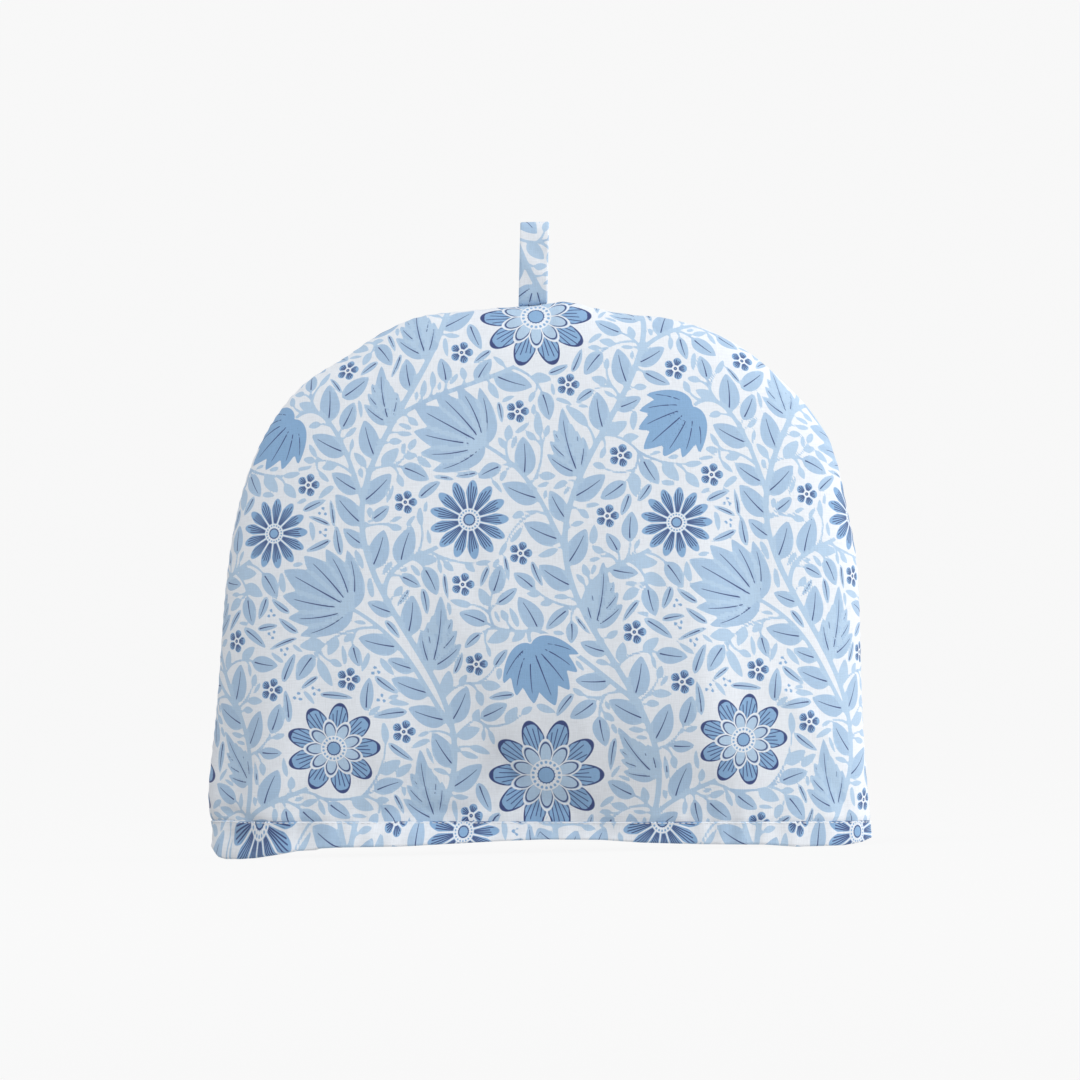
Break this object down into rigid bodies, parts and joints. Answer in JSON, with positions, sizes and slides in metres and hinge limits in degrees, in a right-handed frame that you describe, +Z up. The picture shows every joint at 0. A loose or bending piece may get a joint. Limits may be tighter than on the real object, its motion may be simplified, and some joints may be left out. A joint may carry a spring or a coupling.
{
  "type": "tea cosy",
  "caption": "Domed padded tea cosy of printed cotton, sewn from two arched panels, with a hem band round its open mouth and a flat hanging loop on top.",
  "frame": {"origin": "on the surface the cosy stands on, under the middle of its bounding box", "axes": "+X to the right across the wide front, +Y to the back, through the thickness, +Z up to the hanging loop; the front looks along -Y"},
  "size_m": [0.3305, 0.1147, 0.3147],
  "materials": {
    "printed_cotton": "matt cotton, pale ground with a blue leaf and flower print",
    "hem_cotton": "the same printed cotton, cut as a strip",
    "loop_cotton": "the same printed cotton, folded and pressed flat"
  },
  "bodies": {
    "root": {"panel_front": "printed_cotton", "panel_back": "printed_cotton", "hem_band": "hem_cotton", "loop": "loop_cotton"}
  },
  "joints": []
}
